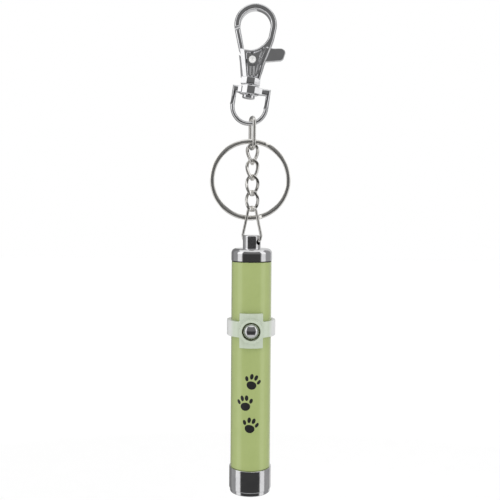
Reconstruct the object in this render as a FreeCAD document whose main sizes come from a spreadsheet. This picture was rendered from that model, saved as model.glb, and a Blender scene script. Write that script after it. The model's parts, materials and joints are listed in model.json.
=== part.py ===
import FreeCAD, Part
import math
import os
import re
import Sketcher

# Keychain picture pointer: a swivel clasp, a split ring and a short curb chain carry a slim pen
# with a push button, button cells, a lamp, a picture film and a lens.
# Frame: +Z up, +X right and -Y to the front. The origin is the inside top of the clasp's hook,
# the point it hangs from. Millimetres and degrees throughout.

SIZES = {
    # swivel clasp, in its own leaning frame with the origin at the middle of the swivel boss
    "clasp_x": -1.8,
    "clasp_z": -25.38,
    "clasp_lean": 7.6,
    "clasp_thick": 3.8,
    "hook_x": -0.9,
    "hook_z": 20.6,
    "hook_outer": 6.8,
    "hook_inner": 4.85,
    "nose_outer_x": -7.43,
    "nose_outer_z": 18.7,
    "nose_inner_x": -5.66,
    "nose_inner_z": 19.65,
    "foot_left": -3.3,
    "foot_right": 2.85,
    "foot_z": 3.6,
    "waist_left": -4.3,
    "waist_right": 3.6,
    "waist_z": 8.4,
    "shoulder_left": -5.4,
    "shoulder_left_z": 12.1,
    "shoulder_right": 4.85,
    "shoulder_right_z": 13.4,
    "neck_right": 5.6,
    "neck_right_z": 16.8,
    "eye_left": -5.1,
    "eye_bottom": 12.6,
    "eye_mid": -1.3,
    "eye_turn_x": 1.9,
    "eye_turn_z": 14.4,
    "eye_right": 3.75,
    "eye_right_z": 17.4,
    "eye_turn_radius": 6.0,
    "clasp_edge": 0.5,
    "hook_root": 16.6,
    "recess_deep": 0.4,
    "recess_left": -2.0,
    "recess_left_high": -3.0,
    "recess_right": 2.2,
    "recess_right_high": 4.1,
    "recess_low": 5.0,
    "recess_high": 12.0,
    "recess_right_z": 14.0,
    "recess_step": 0.4,
    "rivet_x": -0.4,
    "rivet_z": 9.6,
    "rivet_boss": 3.5,
    "rivet_shank": 1.6,
    "rivet_head": 2.3,
    "rivet_head_high": 0.4,
    "rivet_head_slope": 0.25,
    "rivet_gap": 0.02,
    "rivet_play": 0.06,
    "slot_wide": 1.9,
    "slot_floor": 5.6,
    "slot_left": -3.1,
    "slot_left_z": 9.4,
    "slot_lip": 0.5,
    "slot_exit_z": 10.7,
    "slot_out_left": -6.4,
    "slot_top": 14.6,
    "slot_roof_x": 1.6,
    "slot_roof_run": 2.0,
    "slot_out_right": 6.0,
    "slot_over": 15.2,
    "trigger_thick": 1.5,
    "trigger_hub": 1.75,
    "gate_tip_left": -7.31,
    "gate_tip_left_z": 18.37,
    "gate_tip_right": -5.69,
    "gate_tip_right_z": 19.37,
    "gate_foot_left": -5.1,
    "gate_foot_left_z": 12.1,
    "gate_foot_right": -3.45,
    "gate_foot_right_z": 12.6,
    "lever_top": 5.0,
    "lever_top_z": 14.15,
    "lever_tip": 8.3,
    "lever_tip_z": 14.6,
    "lever_end": 9.8,
    "lever_end_z": 13.1,
    "lever_low": 9.55,
    "lever_low_z": 11.95,
    "lever_under": 8.25,
    "lever_under_z": 10.5,
    "lever_root": 3.6,
    "lever_root_z": 9.5,
    "lever_round": 1.5,
    "lever_edge": 0.3,
    "spring_x": 2.1,
    "spring_base": 5.7,
    "spring_high": 2.7,
    "spring_radius": 0.6,
    "spring_wire": 0.28,
    "spring_turns": 4,
    "collar_dia": 7.35,
    "collar_low": 1.75,
    "collar_high": 4.2,
    "collar_round": 0.9,
    "stub_dia": 3.4,
    "stub_low": 1.5,
    "pin_dia": 2.16,
    "pin_fit": 0.02,
    "pin_end_gap": 0.05,
    "pin_head_dia": 4.1,
    "pin_head_low": -2.65,
    "pin_head_top": -1.7,
    "pin_top": 4.0,
    "pin_head_round": 0.3,
    # swivel eye, in the clasp's frame
    "eye_wide": 12.3,
    "eye_shift": 0.7,
    "eye_wire": 1.4,
    "eye_deep": 2.2,
    "eye_bar_half": 1.1,
    "eye_arc_z": -5.1,
    "eye_edge": 0.5,
    "boss_dia": 5.6,
    "boss_half": 1.4,
    "boss_play": 0.09,
    # oval jump link
    "chain_x": -0.8,
    "oval_z": -39.0,
    "oval_turn": -74,
    "oval_wire": 1.1,
    "oval_half_wide": 2.35,
    "oval_half_long": 5.0,
    "oval_bend": 1.85,
    # split ring
    "ring_outer": 13.25,
    "ring_inner": 11.65,
    "ring_coil": 0.66,
    "ring_pitch": 0.71,
    "ring_edge": 0.22,
    "ring_step": 60,
    "ring_turn": 72,
    "ring_x": -1.3,
    "ring_y": 0.8,
    "ring_lean": 3.5,
    "ring_top": -40.8,
    # curb chain
    "chain_y": -0.66,
    "link_wire": 1.07,
    "link_half_wide": 1.85,
    "link_half_long": 3.1,
    "link_square": 2.3,
    "link_twist": 90,
    "link_gap": 0.1,
    "link_x": -0.65,
    "link_first_z": -45.79,
    "link_1_turn": -8,
    "link_2_turn": -16,
    "link_3_turn": -28,
    "link_4_turn": -38,
    # wire link that holds the pen
    "bail_z": -73.75,
    "bail_turn": -40,
    "bail_wire": 0.9,
    "bail_end": 0.35,
    "bail_heel": 3.3,
    "bail_heel_bend": 0.6,
    "bail_hip": 3.85,
    "bail_hip_z": 1.7,
    "bail_hip_bend": 1.0,
    "bail_corner_z": 15.78,
    "bail_bend": 1.75,
    # pen: heights are measured up from its front face
    "pen_x": -0.65,
    "pen_y": -0.66,
    "pen_z": -156.35,
    "tube_outer": 13.0,
    "tube_inner": 12.0,
    "tube_gap": 0.02,
    "tube_low": 8.4,
    "tube_long": 67.45,
    "tube_edge": 0.15,
    "button_level": 54.15,
    "button_hole": 4.2,
    "seal_high": 0.35,
    "seal_outer": 12.9,
    "seal_fit": 0.03,
    "seal_low_gap": 0.04,
    "seal_high_gap": 0.02,
    "cap_dia": 13.2,
    "cap_high": 3.9,
    "cap_round": 1.5,
    "skirt_dia": 11.7,
    "skirt_long": 3.1,
    "skirt_bore": 9.4,
    "skirt_bore_high": 5.6,
    "thread_pitch": 0.75,
    "thread_deep": 0.3,
    "thread_first": 0.6,
    "thread_turns": 3,
    "thread_over": 0.1,
    "post_dia": 5.8,
    "post_high": 4.3,
    "post_round": 0.45,
    "cross_hole": 1.9,
    "cross_hole_up": 2.1,
    "cap_spring_radius": 3.4,
    "cap_spring_wire": 0.6,
    "cap_spring_turns": 4,
    "cap_spring_gap": 0.05,
    "cell_dia": 11.6,
    "cell_high": 5.2,
    "cell_round": 0.35,
    "cell_lid_dia": 10.2,
    "cell_lid_high": 0.3,
    "cell_gap": 0.02,
    "cell_low": 57.15,
    "sleeve_outer": 11.92,
    "sleeve_inner": 11.7,
    "sleeve_gap": 0.1,
    "head_dia": 13.75,
    "head_tip_dia": 13.15,
    "head_tip_high": 1.2,
    "head_step_high": 1.45,
    "head_edge": 0.3,
    "head_neck_dia": 11.88,
    "head_neck_long": 6.0,
    "head_bore": 10.4,
    "head_seat_high": 2.2,
    "head_window": 8.6,
    "lens_dia": 10.3,
    "lens_rim": 1.4,
    "lens_bulge": 0.8,
    "lens_flat": 0.9,
    "lens_curve": 12.2,
    "pole_flat": 0.12,
    "lens_ring_high": 1.6,
    "lens_ring_bore": 8.4,
    "lens_ring_flare": 0.5,
    "film_ring_high": 4.6,
    "film_ring_bore": 7.6,
    "film_seat_bore": 9.4,
    "film_seat_high": 2.2,
    "film_dia": 9.2,
    "film_thick": 0.25,
    "shade_high": 7.3,
    "shade_bore": 9.6,
    "insert_dia": 11.88,
    "stack_gap": 0.05,
    # lamp module
    "carrier_low": 27.0,
    "carrier_long": 29.5,
    "carrier_bore": 8.8,
    "carrier_wall": 1.4,
    "carrier_split": 0.04,
    "carrier_button_hole": 4.4,
    "lamp_dia": 5.0,
    "lamp_straight": 5.6,
    "lamp_flange_dia": 5.8,
    "lamp_flange_high": 1.0,
    "lamp_lead": 0.5,
    "lamp_lead_long": 6.5,
    "lamp_lead_pitch": 2.54,
    "lamp_hole_play": 0.1,
    "board_wide": 8.0,
    "board_thick": 0.8,
    "board_long": 21.5,
    "board_y": 0.4,
    "board_low": 34.0,
    "switch_wide": 6.0,
    "switch_long": 3.0,
    "switch_high": 1.8,
    "switch_bore": 1.8,
    "switch_bore_deep": 1.0,
    "plunger_dia": 1.6,
    "plunger_inner": 1.1,
    "plunger_outer": 2.4,
    "resistor_wide": 1.6,
    "resistor_long": 3.2,
    "resistor_high": 0.6,
    "resistor_level": 42.0,
    "resistor_edge": 0.12,
    "plate_dia": 11.0,
    "plate_thick": 0.4,
    "plate_tab_wide": 3.0,
    "plate_tab_long": 3.2,
    "plate_tab_thick": 0.3,
    "plate_tab_y": 1.3,
    # button and its clip
    "clip_outer": 15.8,
    "clip_inner": 13.06,
    "clip_band_high": 5.1,
    "clip_band_up": 0.35,
    "clip_saddle_wide": 7.5,
    "clip_saddle_high": 11.1,
    "clip_collar_dia": 7.6,
    "clip_collar_reach": 9.1,
    "clip_hole": 5.85,
    "dome_dia": 4.9,
    "dome_base": 7.25,
    "dome_edge": 8.2,
    "dome_curve": 3.2,
    "dome_top": 9.34,
    "stem_dia": 3.2,
    "stem_inner": 2.45,
}

doc = FreeCAD.newDocument("pointer")
sheet = doc.addObject("Spreadsheet::Sheet", "Sizes")
for row, (alias, size) in enumerate(SIZES.items(), start=1):
    sheet.set(f"A{row}", alias)
    sheet.set(f"B{row}", str(size))
    sheet.setAlias(f"B{row}", alias)
doc.recompute()

nodes = []


def sized(text):
    """An expression in the sheet's aliases, written so that any object can use it."""
    return re.sub(r"[a-z][a-z0-9_]*", lambda word: prefixed(word[0]), str(text))


def prefixed(word):
    return f"Sizes.{word}" if word in SIZES else word


def value(text):
    """The number that an expression gives."""
    return float(sheet.evalExpression(sized(text)))


def bind(item, **expressions):
    """Tie an object's properties to expressions; a name with __ in it stands for one with a dot."""
    for name, text in expressions.items():
        item.setExpression(name.replace("__", "."), sized(text))


def place(item, x="0", y="0", z="0", axis=(0, 0, 1), angle="0"):
    """Put an object in the row frame and keep it as a node."""
    item.Placement = FreeCAD.Placement(
        FreeCAD.Vector(value(x), value(y), value(z)),
        FreeCAD.Rotation(FreeCAD.Vector(*axis), value(angle)),
    )
    bind(item, Placement__Base__x=x, Placement__Base__y=y, Placement__Base__z=z)
    bind(item, Placement__Rotation__Angle=angle)
    nodes.append(item)
    return item


def on_clasp(item):
    """Place an object made in the clasp's leaning frame."""
    return place(item, x="clasp_x", z="clasp_z", axis=(0, 1, 0), angle="clasp_lean")


def in_pen(item, level, angle="0", axis=(0, 0, 1)):
    """Place an object on the pen's axis, at a height above the pen's front face."""
    return place(item, "pen_x", "pen_y", f"pen_z + {level}", axis, angle)


def new_body(label):
    body = doc.addObject("PartDesign::Body", label)
    body.Label = label
    return body


def sketch_on(body, name, role, lift="0"):
    """A sketch on one of the body's own origin planes, lifted along the plane's normal."""
    sketch = body.newObject("Sketcher::SketchObject", name)
    planes = [item for item in body.Origin.OriginFeatures if item.Role == role]
    sketch.AttachmentSupport = [(planes[0], "")]
    sketch.MapMode = "FlatFace"
    if lift != "0":
        bind(sketch, AttachmentOffset__Base__z=lift)
    return sketch


def hold(sketch, edge, end, x, y):
    """Fix a sketch point by its distances from the origin."""
    for kind, axis, text in (("DistanceX", -2, x), ("DistanceY", -1, y)):
        if str(text) == "0":
            sketch.addConstraint(Sketcher.Constraint("PointOnObject", edge, end, axis))
            continue
        index = sketch.addConstraint(
            Sketcher.Constraint(kind, -1, 1, edge, end, value(text))
        )
        bind(sketch, **{f"Constraints[{index}]": text})


def arc_between(start, end, radius, turn):
    """The short arc from start to end; turn is 1 for anticlockwise and -1 for clockwise."""
    middle = (start + end) / 2
    half = (end - start) / 2
    rise = math.sqrt(max(radius**2 - half.Length**2, 0))
    across = FreeCAD.Vector(-half.y, half.x, 0).normalize()
    centre = middle + across * (turn * rise)
    begin, finish = (start, end) if turn > 0 else (end, start)
    angles = [math.atan2(p.y - centre.y, p.x - centre.x) for p in (begin, finish)]
    circle = Part.Circle(centre, FreeCAD.Vector(0, 0, 1), radius)
    return Part.ArcOfCircle(circle, angles[0], angles[1])


def outline(sketch, points):
    """A closed outline. Each point is (x, y), or (x, y, radius, turn) when an arc leads to it."""
    spots = [FreeCAD.Vector(value(p[0]), value(p[1]), 0) for p in points]
    ends = []
    first = sketch.GeometryCount
    for number, point in enumerate(points):
        before = spots[number - 1]
        here = spots[number]
        if len(point) == 2:
            sketch.addGeometry(Part.LineSegment(before, here))
            ends.append((1, 2))
            continue
        radius, turn = point[2], point[3]
        edge = sketch.addGeometry(arc_between(before, here, value(radius), turn))
        ends.append((1, 2) if turn > 0 else (2, 1))
        index = sketch.addConstraint(Sketcher.Constraint("Radius", edge, value(radius)))
        bind(sketch, **{f"Constraints[{index}]": radius})
    for number, point in enumerate(points):
        after = (number + 1) % len(points)
        here, there = first + number, first + after
        joint = (here, ends[number][1], there, ends[after][0])
        sketch.addConstraint(Sketcher.Constraint("Coincident", *joint))
        hold(sketch, here, ends[number][1], point[0], point[1])
    return sketch


def circle(sketch, x, y, radius):
    edge = sketch.addGeometry(
        Part.Circle(FreeCAD.Vector(value(x), value(y), 0), FreeCAD.Vector(0, 0, 1), value(radius))
    )
    index = sketch.addConstraint(Sketcher.Constraint("Radius", edge, value(radius)))
    bind(sketch, **{f"Constraints[{index}]": radius})
    if str(x) == "0" and str(y) == "0":
        sketch.addConstraint(Sketcher.Constraint("Coincident", edge, 3, -1, 1))
    else:
        hold(sketch, edge, 3, x, y)
    return sketch


def feature(body, kind, name, sketch, **expressions):
    made = body.newObject(f"PartDesign::{kind}", name)
    made.Profile = sketch
    bind(made, **expressions)
    sketch.Visibility = False
    return made


def volume(body):
    doc.recompute()
    return body.Shape.Volume


def through(body, name, sketch):
    """Pocket right through the body, both ways from the sketch."""
    before = volume(body)
    cut = feature(body, "Pocket", name, sketch)
    cut.Type = "ThroughAll"
    cut.SideType = "Symmetric"
    assert volume(body) < before, f"{name} cuts nothing"
    return cut


def sunk(body, name, sketch, depth, reverse=False):
    """Pocket to a depth, on one side of the sketch."""
    before = volume(body)
    cut = feature(body, "Pocket", name, sketch, Length=depth)
    cut.Reversed = reverse
    assert volume(body) < before, f"{name} cuts nothing"
    return cut


def turned(label, points):
    """A lathe-turned body: its half outline (radius, height) revolved about +Z."""
    body = new_body(label)
    sketch = outline(sketch_on(body, f"{label}_profile", "XZ_Plane"), points)
    made = feature(body, "Revolution", f"{label}_turn", sketch)
    made.ReferenceAxis = (sketch, ["V_Axis"])
    made.Angle = 360
    doc.recompute()
    return body


def slab(label, points, thick):
    """A plate drawn from the front, with its middle plane at y = 0."""
    body = new_body(label)
    sketch = outline(sketch_on(body, f"{label}_outline", "XZ_Plane"), points)
    pad = feature(body, "Pad", f"{label}_pad", sketch, Length=thick)
    pad.SideType = "Symmetric"
    doc.recompute()
    return body


def rounded(body, radius, wanted, kind="Fillet"):
    """Round or bevel every edge of the tip that the test picks."""
    doc.recompute()
    tip = body.Tip
    names = [f"Edge{n}" for n, edge in enumerate(tip.Shape.Edges, start=1) if wanted(edge)]
    assert names, f"{body.Label}: no edge to round"
    made = body.newObject(f"PartDesign::{kind}", f"{body.Label}_{kind.lower()}")
    made.Base = (tip, names)
    bind(made, **{"Radius" if kind == "Fillet" else "Size": radius})
    doc.recompute()
    assert made.isValid(), f"{body.Label}: its {kind} fails"
    return made


def face_rim(edge, depth):
    """Whether an edge lies wholly on the front or back face of a slab."""
    ys = [abs(vertex.Y) for vertex in edge.Vertexes]
    box = edge.BoundBox
    return min(ys) > depth - 1e-4 and box.YLength < 1e-4


# ---- swivel clasp ----

clasp = slab(
    "clasp_body",
    [
        ("foot_left", "foot_z"),
        ("foot_right", "foot_z"),
        ("waist_right", "waist_z"),
        ("shoulder_right", "shoulder_right_z"),
        ("neck_right", "neck_right_z"),
        ("hook_x + hook_outer", "hook_z"),
        ("hook_x", "hook_z + hook_outer", "hook_outer", 1),
        ("hook_x - hook_outer", "hook_z", "hook_outer", 1),
        ("nose_outer_x", "nose_outer_z", "hook_outer", 1),
        ("nose_inner_x", "nose_inner_z"),
        ("hook_x - hook_inner", "hook_z", "hook_inner", -1),
        ("hook_x", "hook_z + hook_inner", "hook_inner", -1),
        ("hook_x + hook_inner", "hook_z", "hook_inner", -1),
        ("eye_right", "eye_right_z"),
        ("eye_turn_x", "eye_turn_z", "eye_turn_radius", -1),
        ("eye_mid", "eye_bottom", "eye_turn_radius", -1),
        ("eye_left", "eye_bottom"),
        ("shoulder_left", "shoulder_left_z"),
        ("waist_left", "waist_z"),
    ],
    "clasp_thick",
)
clasp_half = value("clasp_thick / 2")
hook_root = value("hook_root")
rounded(clasp, "clasp_edge", lambda edge: face_rim(edge, clasp_half) and edge.BoundBox.ZMax > hook_root)
for side, reverse in (("front", True), ("back", False)):
    lift = "clasp_thick / 2" if side == "front" else "-clasp_thick / 2"
    recess = sketch_on(clasp, f"recess_{side}", "XZ_Plane", lift)
    outline(
        recess,
        [
            ("recess_left", "recess_low"),
            ("recess_right", "recess_low"),
            ("recess_right_high", "recess_right_z"),
            ("eye_turn_x", "recess_right_z - recess_step"),
            ("eye_mid", "recess_high"),
            ("recess_left_high", "recess_high"),
        ],
    )
    circle(recess, "rivet_x", "rivet_z", "rivet_boss / 2")
    sunk(clasp, f"recess_{side}_cut", recess, "recess_deep", reverse=side == "back")
slot = sketch_on(clasp, "slot", "XZ_Plane")
outline(
    slot,
    [
        ("slot_out_left", "slot_exit_z"),
        ("waist_left - slot_lip", "slot_exit_z"),
        ("slot_left", "slot_left_z"),
        ("slot_left", "slot_floor"),
        ("slot_out_right", "slot_floor"),
        ("slot_out_right", "slot_top"),
        ("slot_roof_x + slot_roof_run", "slot_top"),
        ("slot_roof_x", "slot_over"),
        ("slot_out_left", "slot_over"),
    ],
)
slot_cut = feature(clasp, "Pocket", "slot_cut", slot, Length="slot_wide")
slot_cut.SideType = "Symmetric"
collar = sketch_on(clasp, "collar_profile", "XZ_Plane")
outline(
    collar,
    [
        ("0", "stub_low"),
        ("stub_dia / 2", "stub_low"),
        ("stub_dia / 2", "collar_low"),
        ("collar_dia / 2 - collar_round", "collar_low"),
        ("collar_dia / 2", "collar_low + collar_round", "collar_round", 1),
        ("collar_dia / 2", "collar_high - collar_round"),
        ("collar_dia / 2 - collar_round", "collar_high", "collar_round", 1),
        ("0", "collar_high"),
    ],
)
collar_turn = feature(clasp, "Revolution", "collar_turn", collar)
collar_turn.ReferenceAxis = (collar, ["V_Axis"])
collar_turn.Angle = 360
rivet_hole = circle(
    sketch_on(clasp, "rivet_hole", "XZ_Plane"), "rivet_x", "rivet_z", "rivet_shank / 2 + rivet_play / 3"
)
through(clasp, "rivet_hole_cut", rivet_hole)
pin_hole = circle(sketch_on(clasp, "pin_hole", "XY_Plane"), "0", "0", "pin_dia / 2 + pin_fit")
sunk(clasp, "pin_hole_cut", pin_hole, "pin_top + pin_end_gap", reverse=True)
on_clasp(clasp)

trigger = slab(
    "clasp_trigger",
    [
        ("gate_tip_left", "gate_tip_left_z"),
        ("gate_foot_left", "gate_foot_left_z"),
        ("rivet_x - trigger_hub", "rivet_z", "trigger_hub * 3", 1),
        ("rivet_x", "rivet_z - trigger_hub", "trigger_hub", 1),
        ("lever_root", "lever_root_z"),
        ("lever_under", "lever_under_z"),
        ("lever_low", "lever_low_z", "lever_round", 1),
        ("lever_end", "lever_end_z"),
        ("lever_tip", "lever_tip_z", "lever_round", 1),
        ("lever_top", "lever_top_z"),
        ("rivet_x", "rivet_z + trigger_hub"),
        ("gate_foot_right", "gate_foot_right_z"),
        ("gate_tip_right", "gate_tip_right_z"),
    ],
    "trigger_thick",
)
through(
    trigger,
    "trigger_pivot",
    circle(sketch_on(trigger, "pivot", "XZ_Plane"), "rivet_x", "rivet_z", "rivet_shank / 2 + rivet_play"),
)
trigger_half = value("trigger_thick / 2")
lever_from = value("lever_top") - value("slot_lip")
rounded(
    trigger,
    "lever_edge",
    lambda edge: face_rim(edge, trigger_half) and edge.BoundBox.XMin > lever_from,
)
on_clasp(trigger)

rivet = turned(
    "clasp_rivet",
    [
        ("0", "-clasp_thick / 2 - rivet_head_high"),
        ("rivet_head / 2 - rivet_head_slope", "-clasp_thick / 2 - rivet_head_high"),
        ("rivet_head / 2", "-clasp_thick / 2 - rivet_gap"),
        ("rivet_shank / 2", "-clasp_thick / 2 - rivet_gap"),
        ("rivet_shank / 2", "clasp_thick / 2 + rivet_gap"),
        ("rivet_head / 2", "clasp_thick / 2 + rivet_gap"),
        ("rivet_head / 2 - rivet_head_slope", "clasp_thick / 2 + rivet_head_high"),
        ("0", "clasp_thick / 2 + rivet_head_high"),
    ],
)
place(
    rivet,
    x="clasp_x + rivet_x * cos(clasp_lean) + rivet_z * sin(clasp_lean)",
    z="clasp_z - rivet_x * sin(clasp_lean) + rivet_z * cos(clasp_lean)",
    axis=(1, 0, 0),
    angle="90",
)


def swept(label, path, profile, upright=False):
    """A solid made by carrying a closed profile along a path."""
    shell = Part.BRepOffsetAPI.MakePipeShell(path)
    if upright:
        shell.setBiNormalMode(FreeCAD.Vector(0, 0, 1))
    else:
        shell.setFrenetMode(False)
    shell.add(profile)
    shell.build()
    shell.makeSolid()
    item = doc.addObject("Part::Feature", label)
    item.Label = label
    item.Shape = shell.shape()
    return item


def coil(label, radius, wire, turns, high):
    """A round-wire coil spring in turns of even pitch; z = 0 is the middle of its lowest wire."""
    rise = value(high) - value(wire)
    spots = []
    middle = value(radius)
    for step in range(8 * int(value(turns)) + 1):
        turn = math.radians(45 * step)
        level = rise * step / (8 * value(turns))
        spots.append(FreeCAD.Vector(middle * math.cos(turn), middle * math.sin(turn), level))
    path = Part.BSplineCurve()
    path.interpolate(spots)
    along = path.tangent(path.FirstParameter)[0]
    section = Part.Wire(Part.makeCircle(value(wire) / 2, spots[0], along))
    return swept(label, Part.Wire(path.toShape()), section, upright=True)


spring_foot = "(spring_base + spring_wire / 2)"
place(
    coil("clasp_spring", "spring_radius", "spring_wire", "spring_turns", "spring_high"),
    x=f"clasp_x + spring_x * cos(clasp_lean) + {spring_foot} * sin(clasp_lean)",
    z=f"clasp_z - spring_x * sin(clasp_lean) + {spring_foot} * cos(clasp_lean)",
    axis=(0, 1, 0),
    angle="clasp_lean",
)

pin = turned(
    "swivel_pin",
    [
        ("0", "pin_head_low"),
        ("pin_head_dia / 2 - pin_head_round", "pin_head_low"),
        ("pin_head_dia / 2", "pin_head_low + pin_head_round", "pin_head_round", 1),
        ("pin_head_dia / 2", "pin_head_top"),
        ("pin_dia / 2", "pin_head_top"),
        ("pin_dia / 2", "pin_top"),
        ("0", "pin_top"),
    ],
)
on_clasp(pin)

swivel = slab(
    "swivel_eye",
    [
        ("eye_shift + eye_wide / 2", "eye_bar_half"),
        ("eye_shift - eye_wide / 2", "eye_bar_half"),
        ("eye_shift - eye_wide / 2", "eye_arc_z"),
        ("eye_shift", "eye_arc_z - eye_wide / 2", "eye_wide / 2", 1),
        ("eye_shift + eye_wide / 2", "eye_arc_z", "eye_wide / 2", 1),
    ],
    "eye_deep",
)
loop = outline(
    sketch_on(swivel, "eye_loop", "XZ_Plane"),
    [
        ("eye_shift + eye_wide / 2 - eye_wire", "-eye_bar_half"),
        ("eye_shift + eye_wire - eye_wide / 2", "-eye_bar_half"),
        ("eye_shift + eye_wire - eye_wide / 2", "eye_arc_z"),
        ("eye_shift", "eye_arc_z - eye_wide / 2 + eye_wire", "eye_wide / 2 - eye_wire", 1),
        ("eye_shift + eye_wide / 2 - eye_wire", "eye_arc_z", "eye_wide / 2 - eye_wire", 1),
    ],
)
through(swivel, "eye_loop_cut", loop)
eye_half = value("eye_deep / 2")
rounded(swivel, "eye_edge", lambda edge: face_rim(edge, eye_half))
boss = circle(sketch_on(swivel, "boss", "XY_Plane"), "0", "0", "boss_dia / 2")
boss_pad = feature(swivel, "Pad", "boss_pad", boss, Length="boss_half * 2")
boss_pad.SideType = "Symmetric"
bore = circle(sketch_on(swivel, "boss_bore", "XY_Plane"), "0", "0", "pin_dia / 2 + boss_play")
bore_cut = feature(swivel, "Pocket", "boss_bore_cut", bore, Length="boss_half * 4")
bore_cut.SideType = "Symmetric"
on_clasp(swivel)

# ---- links and rings ----

oval = new_body("oval_link")
spine = outline(
    sketch_on(oval, "oval_path", "XZ_Plane"),
    [
        ("oval_half_wide", "oval_half_long - oval_bend"),
        ("oval_half_wide - oval_bend", "oval_half_long", "oval_bend", 1),
        ("oval_bend - oval_half_wide", "oval_half_long"),
        ("-oval_half_wide", "oval_half_long - oval_bend", "oval_bend", 1),
        ("-oval_half_wide", "oval_bend - oval_half_long"),
        ("oval_bend - oval_half_wide", "-oval_half_long", "oval_bend", 1),
        ("oval_half_wide - oval_bend", "-oval_half_long"),
        ("oval_half_wide", "oval_bend - oval_half_long", "oval_bend", 1),
    ],
)
section = circle(sketch_on(oval, "oval_wire", "XY_Plane"), "oval_half_wide", "0", "oval_wire / 2")
pipe = feature(oval, "AdditivePipe", "oval_pipe", section)
pipe.Spine = (spine, [f"Edge{n}" for n in range(1, 9)])
doc.recompute()
place(oval, x="chain_x", z="oval_z", angle="oval_turn")


def split_ring():
    """Two flat turns of spring wire, with one step between them."""
    step, pitch = value("ring_step"), value("ring_pitch")
    radius = value("(ring_outer + ring_inner) / 2")
    spots = []
    for angle in range(0, 661, 10):
        along = min(max((angle - 360 + step) / step, 0), 1)
        rise = pitch * (3 * along**2 - 2 * along**3) - pitch / 2
        turn = math.radians(angle)
        spots.append(FreeCAD.Vector(radius * math.cos(turn), radius * math.sin(turn), rise))
    path = Part.BSplineCurve()
    path.interpolate(spots)
    deep, wide, edge = value("ring_coil"), value("ring_outer - ring_inner"), value("ring_edge")
    flat = Part.makePlane(wide - 2 * edge, deep - 2 * edge)
    rim = flat.makeOffset2D(edge)
    rim.translate(FreeCAD.Vector(edge - wide / 2, edge - deep / 2, 0))
    rim.rotate(FreeCAD.Vector(), FreeCAD.Vector(1, 0, 0), 90)
    rim.translate(spots[0])
    return swept("split_ring", Part.Wire(path.toShape()), rim.Wires[0], upright=True)


ring = split_ring()
turn_up = FreeCAD.Rotation(FreeCAD.Vector(1, 0, 0), 90 + value("ring_lean"))
turn_in = FreeCAD.Rotation(FreeCAD.Vector(0, 0, 1), value("ring_turn"))
ring_z = value("ring_top - ring_outer * cos(ring_lean)")
ring_back = value("ring_y + ring_outer * sin(ring_lean)")
ring.Placement = FreeCAD.Placement(
    FreeCAD.Vector(value("ring_x"), ring_back, ring_z),
    turn_up.multiply(turn_in),
)
nodes.append(ring)


def curb_link(label, number):
    """An oval of round wire, twisted a quarter turn from its top end to its bottom end."""
    wide, long = value("link_half_wide"), value("link_half_long")
    power = 2 / value("link_square")
    start, twist = value(f"link_{number}_turn"), value("link_twist")
    spots = []
    for angle in range(0, 360, 15):
        turn = math.radians(angle + 7.5)
        out = math.copysign(abs(math.sin(turn)) ** power, math.sin(turn)) * wide
        up = math.copysign(abs(math.cos(turn)) ** power, math.cos(turn)) * long
        plan = math.radians(start + twist * (long - up) / (2 * long))
        spots.append(FreeCAD.Vector(out * math.cos(plan), out * math.sin(plan), up))
    path = Part.BSplineCurve()
    path.interpolate(Points=spots, PeriodicFlag=True)
    first, last = path.FirstParameter, path.LastParameter
    halves = []
    for low, high in ((first, (first + last) / 2), ((first + last) / 2, last)):
        middle, along = path.value(low), path.tangent(low)[0]
        profile = Part.Wire(Part.makeCircle(value("link_wire") / 2, middle, along))
        run = Part.Wire(path.toShape(low, high))
        halves.append(run.makePipeShell([profile], True, False))
    item = doc.addObject("Part::Feature", label)
    item.Label = label
    item.Shape = halves[0].fuse(halves[1]).Solids[0]
    return item


for number in range(1, 5):
    pitch = "(2 * link_half_long - link_wire - link_gap)"
    place(
        curb_link(f"chain_link_{number}", number),
        x="link_x",
        y="chain_y",
        z=f"link_first_z - {number - 1} * {pitch}",
    )


def bent_path(corners, bends):
    """Straight runs between the corners in the XZ plane, with a round bend at each inner corner."""
    spots = [FreeCAD.Vector(value(x), 0, value(z)) for x, z in corners]
    edges = []
    start = spots[0]
    for number in range(1, len(spots) - 1):
        corner = spots[number]
        back = (spots[number - 1] - corner).normalize()
        ahead = (spots[number + 1] - corner).normalize()
        half = back.getAngle(ahead) / 2
        radius = value(bends[number - 1])
        reach = radius / math.tan(half)
        enter, leave = corner + back * reach, corner + ahead * reach
        middle = (back + ahead).normalize()
        crown = corner + middle * (radius / math.sin(half) - radius)
        edges.append(Part.makeLine(start, enter))
        edges.append(Part.Arc(enter, crown, leave).toShape())
        start = leave
    edges.append(Part.makeLine(start, spots[-1]))
    return Part.Wire(edges)


bail_path = bent_path(
    [
        ("bail_end", "0"),
        ("bail_heel", "0"),
        ("bail_hip", "bail_hip_z"),
        ("0", "bail_corner_z"),
        ("-bail_hip", "bail_hip_z"),
        ("-bail_heel", "0"),
        ("-bail_end", "0"),
    ],
    ["bail_heel_bend", "bail_hip_bend", "bail_bend", "bail_hip_bend", "bail_heel_bend"],
)
bail_start = FreeCAD.Vector(value("bail_end"), 0, 0)
bail_section = Part.Wire(Part.makeCircle(value("bail_wire / 2"), bail_start, FreeCAD.Vector(1, 0, 0)))
place(
    swept("wire_link", bail_path, bail_section),
    x="pen_x",
    y="pen_y",
    z="bail_z",
    angle="bail_turn",
)

# ---- tail cap and cells ----

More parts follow.
